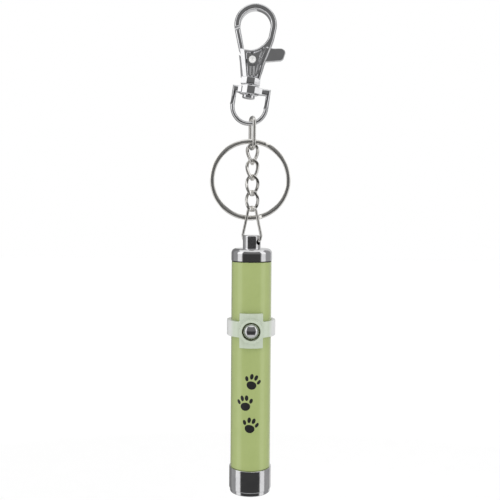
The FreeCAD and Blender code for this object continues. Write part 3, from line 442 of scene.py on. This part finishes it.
def recess_tool(face):
    """The tool for one side's recess, which leaves the rivet's well standing."""
    tool = loose(plate([recess_outline], [(amount, y * face) for amount, y in recess_edge]))
    return combined(tool, loose(drill(RIVET_WELL), stand))


clasp = loose(plate([clasp_outline], both_sides(clasp_edge)))
for face in (-1, 1):
    combined(clasp, loose(facet_tool(face)))
    combined(clasp, recess_tool(face))
    for start, end in RIBS:
        combined(clasp, loose(rod(start, end, face * (HALF - RIB_SINK), RIB_RADIUS)), "UNION")
combined(clasp, loose(plate([slot_outline], [(0, SLOT_HALF), (0, -SLOT_HALF)])))

COLLAR_RADIUS = 3.0
COLLAR_EDGE = 0.35
COLLAR_DEPTH = 0.8  # front to back, as a share of its width
PIN_HOLE = 1.1
collar_profile = (
    [(0, 1.5), (1.6, 1.5), (1.7, 1.6), (1.7, 1.75)]
    + rounded_corner(COLLAR_RADIUS, 2.1, COLLAR_EDGE, -90, -20)
    + rounded_corner(COLLAR_RADIUS, 3.75, COLLAR_EDGE, 20, 90)
    + [(0, 4.1)]
)
collar_turn = Matrix.Scale(COLLAR_DEPTH, 4, (0, 1, 0)) @ Matrix.Rotation(EIGHT_TURN, 4, "Z")
combined(clasp, loose(lathe(collar_profile, 8), collar_turn), "UNION")
combined(clasp, loose(drill(PIN_HOLE, 1, 4.05)))
combined(clasp, loose(drill(RIVET_HOLE), stand))
clasp.data.transform(on_clasp)
clasp.name = "clasp_casting"
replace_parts(finished(clasp, "clasp_body"), "clasp_body")

# ---- gate and lever ----

LEVER_HOLE = 0.86
lever_outline = path([
    (-2.1, 9.9), (-0.4, 7.85, 1.9, 1), (3.6, 9.5), (8.25, 10.5), (9.55, 11.95, 1.5, 1), (9.8, 13.1),
    (8.3, 14.6, 1.5, 1), (5.0, 14.15), (-0.4, 11.35),
])
gate_outline = path([
    (-7.31, 18.37), (-5.1, 12.1), (-2.15, 9.6, 5.25, 1), (-0.5, 8.6), (-0.4, 11.35), (-3.45, 12.6),
    (-5.69, 19.37),
])
# the space that the spring takes in the lever's foot as the lever comes down on it
spring_pocket = path([
    (1.2, 7.4), (3.2, 7.4), (3.85, 8.95), (3.0, 10.45), (2.8, 10.45), (1.45, 9.75), (1.2, 8.8),
])
trigger = loose(plate([lever_outline], both_sides([(0, 0.5), (0.06, 0.63), (0.22, 0.75)])))
gate = plate([gate_outline], both_sides([(0, 0.1), (0.14, 0.38), (0.54, 0.67), (0.68, 0.71)]))
combined(trigger, loose(gate), "UNION")
combined(trigger, loose(plate([spring_pocket], [(0, 1.0), (0, -1.0)])))
combined(trigger, loose(drill(LEVER_HOLE), stand))
trigger.data.transform(on_clasp)
trigger.name = "gate_and_lever"
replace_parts(finished(trigger, "clasp_trigger"), "clasp_trigger")

# ---- clasp rivet ----

# one end of the rivet, from the middle of its dish out to the rim and back under it
DISH = [(0, -HALF + 0.13), (0.16, -HALF + 0.11), (0.9, -HALF - 0.37), (0.97, -HALF - 0.4),
        (1.06, -HALF - 0.36), (1.15, -HALF - 0.2), (1.15, -HALF - 0.02), (0.8, -HALF - 0.02)]
rivet = lathe(DISH + [(r, -h) for r, h in reversed(DISH)], 64)
dished = piece("dished_rivet", rivet, "clasp_rivet", 18, on_clasp @ stand)
dished.data.materials[0] = MATERIALS["peened_steel"]
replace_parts(dished, "clasp_rivet")

# ---- swivel eye ----

EYE_SHIFT = 0.7
EYE_OUT = 6.15
EYE_IN = 4.75
EYE_ARC = -5.1
BAR_HALF = 1.1
BOSS_RADIUS = 3.2
BOSS_HALF = 1.4
BOSS_FACE = math.radians(9)  # how far its front face looks to the right
EYE_HOLE = 1.17
eye_edge = [(0, 0.3), (0.08, 0.6), (0.25, 0.88), (0.45, 1.03), (0.62, 1.1)]
# the flares beside the boss, seen from above: the half behind the bar, from the boss outwards
FLARES = (((-2.6, 2.05), (-3.7, 1.3), (-3.76, 1.0)), ((1.7, 2.74), (4.1, 1.27), (4.18, 1.0)))


def d_outline(half, bar, side):
    """The eye's outline: up one leg, along the bar, down the other leg and round the arc."""
    first, second = EYE_SHIFT + half * side, EYE_SHIFT - half * side
    return path([(first, EYE_ARC), (first, bar), (second, bar), (second, EYE_ARC),
                 (EYE_SHIFT, EYE_ARC - half, half, side), (first, EYE_ARC, half, side)])


def flare(half_outline):
    """A block with its upper and lower edges cut back."""
    wedge = [*half_outline, *((x, -y) for x, y in reversed(half_outline))]
    build = bmesh.new()
    rows = [[build.verts.new((x * MM, (y - math.copysign(slim, y)) * MM, z * MM)) for x, y in wedge]
            for z, slim in ((-1.08, 0.25), (-0.92, 0), (0.92, 0), (1.08, 0.25))]
    skin(build, rows)
    build.faces.new(rows[0])
    build.faces.new(rows[-1])
    return build


eye_loops = [d_outline(EYE_OUT, BAR_HALF, 1), d_outline(EYE_IN, -BAR_HALF, -1)]
eye = loose(plate(eye_loops, both_sides(eye_edge)))
for half_outline in FLARES:
    combined(eye, loose(flare(half_outline)), "UNION")
boss_end = [(0, -BOSS_HALF), (BOSS_RADIUS - 0.17, -BOSS_HALF), (BOSS_RADIUS, 0.2 - BOSS_HALF)]
boss = lathe(boss_end + [(radius, -high) for radius, high in reversed(boss_end)], 8)
combined(eye, loose(boss, Matrix.Rotation(BOSS_FACE + EIGHT_TURN - math.pi / 2, 4, "Z")), "UNION")
combined(eye, loose(drill(EYE_HOLE)))
eye.data.transform(on_clasp)
eye.name = "swivel_eye_casting"
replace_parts(finished(eye, "swivel_eye"), "swivel_eye")

# ---- split ring ----

OUTER, WIRE, COIL, PITCH = 13.25, 1.6, 0.66, 0.71
RING_TURN = 72  # degrees below the right-hand side where the front end lies
TURNS, STEPS = 580, 290
DIVE, DIVE_LONG = 219, 8  # degrees along the wire where it steps to the back coil
THIN_END, TAPER = 0.12, 2  # the cut ends' thickness, and their length in steps
# one quarter of the wire's section: a flat, a bevel and a rounded rim
QUARTER = ((0.0, 1.0), (0.4, 1.0), (0.46, 0.96), (0.9, 0.22), (0.97, 0.1))
SECTION = ([(a, b) for a, b in QUARTER] + [(a, -b) for a, b in reversed(QUARTER)]
           + [(-a, -b) for a, b in QUARTER[1:]] + [(-a, b) for a, b in reversed(QUARTER[1:])])
ring_low, ring_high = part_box("split_ring")
ring_axis = Vector(joints["ring_swing"]["axis"])
across_ring = Vector((1, 0, 0))
ring_frame = Matrix((across_ring, ring_axis.cross(across_ring), ring_axis)).transposed().to_4x4()
ring_place = (Matrix.Translation((ring_low + ring_high) / 2) @ ring_frame
              @ Matrix.Rotation(math.radians(RING_TURN), 4, "Z"))
ring = bmesh.new()
rows = []
for k in range(STEPS + 1):
    angle = TURNS * k / STEPS
    along = min(max((angle - DIVE) / DIVE_LONG, 0), 1)
    rise = PITCH * (3 * along ** 2 - 2 * along ** 3) - PITCH / 2
    turn = math.radians(angle)
    thin = THIN_END + (1 - THIN_END) / TAPER * min(k, STEPS - k, TAPER)
    side = math.copysign(1 - thin, STEPS / 2 - k)
    row = []
    for a, b in SECTION:
        radius = OUTER - WIRE / 2 + a * WIRE / 2
        high = rise + (b * thin + side) * COIL / 2
        row.append(ring.verts.new((radius * math.cos(turn) * MM, radius * math.sin(turn) * MM, high * MM)))
    rows.append(row)
for one, two in zip(rows, rows[1:]):
    for n in range(len(SECTION)):
        ring.faces.new((one[n - 1], one[n], two[n], two[n - 1]))
ring.faces.new(rows[0])
ring.faces.new(rows[-1])
coils = piece("split_ring_coils", ring, "split_ring", 22, ring_place)
coils.data.materials[0] = MATERIALS["worn_nickel"]
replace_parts(coils, "split_ring")

# ---- curb links ----

LINK_WIRE, LINK_WIDE, LINK_LONG = 0.535, 1.85, 3.1
LINK_POWER = 2 / 2.3  # under 1, the oval is fuller at its corners
LINK_TWIST = 90
LINK_STEPS, LINK_SIDES = 72, 16
LINK_FLAT = 0.88  # how far out the wire's four flats lie, as a share of its radius


def curb_link(number, first_turn):
    """A link of flattened wire, twisted a quarter turn from end to end, in its CAD link's place."""
    low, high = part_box(f"chain_link_{number}")
    middle = (low + high) / 2
    build = bmesh.new()
    spots = []
    for k in range(LINK_STEPS):
        turn = 2 * math.pi * k / LINK_STEPS
        out = math.copysign(abs(math.sin(turn)) ** LINK_POWER, math.sin(turn)) * LINK_WIDE
        rise = math.copysign(abs(math.cos(turn)) ** LINK_POWER, math.cos(turn)) * LINK_LONG
        plan = math.radians(first_turn + LINK_TWIST * (LINK_LONG - rise) / (2 * LINK_LONG))
        spots.append(Vector((out * math.cos(plan), out * math.sin(plan), rise)))
    rows = []
    for k, spot in enumerate(spots):
        along = (spots[(k + 1) % LINK_STEPS] - spots[k - 1]).normalized()
        outward = (spot - along * spot.dot(along)).normalized()
        side = along.cross(outward)
        row = []
        for n in range(LINK_SIDES):
            turn = 2 * math.pi * (n + 0.5) / LINK_SIDES
            size = LINK_WIRE * min(1.0, LINK_FLAT / max(abs(math.cos(turn)), abs(math.sin(turn))))
            out = (outward * math.cos(turn) + side * math.sin(turn)) * size
            row.append(build.verts.new((spot + out) * MM))
        rows.append(row)
    for k in range(LINK_STEPS):
        one, two = rows[k - 1], rows[k]
        for n in range(LINK_SIDES):
            build.faces.new((one[n - 1], one[n], two[n], two[n - 1]))
    name = f"chain_link_{number}"
    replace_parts(piece(f"curb_{number}", build, name, 20, Matrix.Translation(middle)), name)


for number, first_turn in enumerate((-8, -16, -28, -38), start=1):
    curb_link(number, first_turn)

# ---- button clip ----

clip = bpy.data.objects.new("clip_moulding", nodes["button_clip"].data.copy())
bpy.context.collection.objects.link(clip)
remesh = clip.modifiers.new("remesh", "REMESH")
remesh.mode = "VOXEL"
remesh.voxel_size = 0.14 * MM
soften = clip.modifiers.new("soften", "SMOOTH")
soften.factor = 0.6
soften.iterations = 5
graph = bpy.context.evaluated_depsgraph_get()
clip_mesh = bpy.data.meshes.new_from_object(clip.evaluated_get(graph))
clip.modifiers.clear()
clip.data = clip_mesh
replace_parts(finished(clip, "button_clip", 80), "button_clip")

# ---- paw prints on the tube ----

TUBE_RADIUS = 6.5
UNDER_INK, INK = 0.004, 0.02
PRINT_MIDDLE = -126.0
PRINT_SIZE = 4.4
# each print's place across and above the middle, and its slant
PRINTS = ((0.55, 7.2, -0.3), (-1.85, 0.3, 0.12), (-0.05, -6.9, -0.22))
# the pad, then four toes: place across and up, half width, half height, lean and flatness
PADS = ((0, -0.22, 0.36, 0.30, 0, 0.5), (-0.47, 0.12, 0.12, 0.19, 0.45, 0),
        (-0.17, 0.37, 0.13, 0.21, 0.12, 0), (0.17, 0.37, 0.13, 0.21, -0.12, 0),
        (0.47, 0.12, 0.12, 0.19, -0.45, 0))
tube_axis = (tube_low + tube_high) / 2


def blob(build, across, high, wide, tall, slant, flat):
    """A rounded spot of ink that follows the tube; flat widens its lower side."""
    count = 28
    rows = []
    for share, lift in ((0, UNDER_INK), (0.5, UNDER_INK), (1, UNDER_INK), (1, INK), (0.5, INK), (0, INK)):
        row = []
        for k in range(count if share else 1):
            turn = 2 * math.pi * k / count
            x = share * wide * math.cos(turn) * (1 - flat * 0.35 * math.sin(turn))
            z = share * tall * (math.sin(turn) + flat * 0.25 * math.cos(2 * turn))
            u = across + x * math.cos(slant) - z * math.sin(slant)
            v = high + x * math.sin(slant) + z * math.cos(slant)
            out = TUBE_RADIUS + lift
            row.append(build.verts.new((tube_axis.x + out * math.sin(u / TUBE_RADIUS) * MM,
                                        tube_axis.y - out * math.cos(u / TUBE_RADIUS) * MM, v * MM)))
        rows.append(row)
    skin(build, rows)


def paw(build, across, high, size, slant):
    """One pad with four toes over it."""
    for u, v, wide, tall, lean, flat in PADS:
        out = size * (u * math.cos(slant) - v * math.sin(slant))
        rise = size * (u * math.sin(slant) + v * math.cos(slant))
        blob(build, across + out, high + rise, wide * size, tall * size, slant + lean, flat)


prints = bmesh.new()
for across, high, slant in PRINTS:
    paw(prints, across, PRINT_MIDDLE + high, PRINT_SIZE, slant)
piece("paw_prints", prints, "barrel_tube", 30, None, "black_plastic")

# ---- studio ----

world = bpy.data.worlds.new("studio")
world.use_nodes = True
world.node_tree.nodes["Background"].inputs["Color"].default_value = (1, 1, 1, 1)
world.node_tree.nodes["Background"].inputs["Strength"].default_value = 1.0
bpy.context.scene.world = world
bpy.context.scene.view_settings.view_transform = "Standard"

CARD_DROP = 0.08  # the cards' middle lies this far below the frame's origin
# name, middle and half width in degrees round the object from the front, lowest and highest
# elevation, distance and brightness
CARDS = [
    ("room", 0, 180, -90, 90, 1.3, 0.3),
    ("front", 0, 52, -42, -1, 1.0, 0.045),
    ("front_high", 0, 52, -1, 90, 1.0, 0.15),
    ("soft_right", 71, 14, -60, 1, 0.95, 0.78),
    ("soft_left", -71, 14, -60, 1, 0.95, 0.82),
    ("soft_right_high", 72, 16, 1, 55, 0.95, 1.0),
    ("soft_left_high", -72, 16, 1, 55, 0.95, 1.15),
    ("back_right", 160, 22, -50, 60, 0.95, 0.65),
    ("back_left", -150, 26, -50, 60, 0.95, 0.2),
    ("overhead", 0, 180, 48, 80, 0.9, 0.8),
    ("below", 0, 180, -90, -42, 0.9, 0.55),
]


def card(name, middle, half, bottom, top, far, level):
    """A bent panel that only reflections see."""
    build = bmesh.new()
    across = max(8, int(half / 4))
    rows = []
    for n in range(9):
        rise = math.radians(bottom + (top - bottom) * n / 8)
        row = []
        for k in range(across + 1):
            turn = math.radians(middle - half + 2 * half * k / across)
            out = far * math.cos(rise)
            high = far * math.sin(rise) - CARD_DROP
            row.append(build.verts.new((out * math.sin(turn), -out * math.cos(turn), high)))
        rows.append(row)
    for one, two in zip(rows, rows[1:]):
        for k in range(across):
            build.faces.new((one[k], one[k + 1], two[k + 1], two[k]))
    mesh = bpy.data.meshes.new(name)
    build.to_mesh(mesh)
    build.free()
    made, tree, surface, add = shader(name)
    surface.inputs["Base Color"].default_value = (0, 0, 0, 1)
    surface.inputs["Specular IOR Level"].default_value = 0
    surface.inputs["Emission Color"].default_value = (1, 1, 1, 1)
    surface.inputs["Emission Strength"].default_value = level
    mesh.materials.append(made)
    obj = bpy.data.objects.new(name, mesh)
    bpy.context.collection.objects.link(obj)
    obj.visible_camera = obj.visible_diffuse = obj.visible_shadow = obj.visible_transmission = False
    obj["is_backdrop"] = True


for row in CARDS:
    card(*row)

floor_mesh = bpy.data.meshes.new("floor")
floor_mesh.from_pydata([(-6, -6, -0.5), (6, -6, -0.5), (6, 6, -0.5), (-6, 6, -0.5)], [], [(0, 1, 2, 3)])
floor = bpy.data.objects.new("floor", floor_mesh)
bpy.context.collection.objects.link(floor)
pale = moulded("floor", (0.98, 0.98, 0.98), (0.97, 0.97, 0.97), 0.8, 40, 0.1 * MM)
pale.node_tree.nodes["Principled BSDF"].inputs["Emission Color"].default_value = (1, 1, 1, 1)
pale.node_tree.nodes["Principled BSDF"].inputs["Emission Strength"].default_value = 0.05
floor_mesh.materials.append(pale)
floor.visible_glossy = False
floor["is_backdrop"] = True

# ---- camera ----

LENS = 55.0
CAMERA_AT = Vector((-1.22, -248.66, -62.5)) * MM
PITCH = 3.3
ROLL = 0.44
camera = bpy.data.objects.new("camera", bpy.data.cameras.new("camera"))
camera.data.lens = LENS
camera.data.clip_start = 0.01
camera.matrix_world = (
    Matrix.Translation(CAMERA_AT)
    @ Matrix.Rotation(math.radians(90 - PITCH), 4, "X")
    @ Matrix.Rotation(math.radians(ROLL), 4, "Z")
)
bpy.context.collection.objects.link(camera)
bpy.context.scene.camera = camera

low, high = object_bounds()
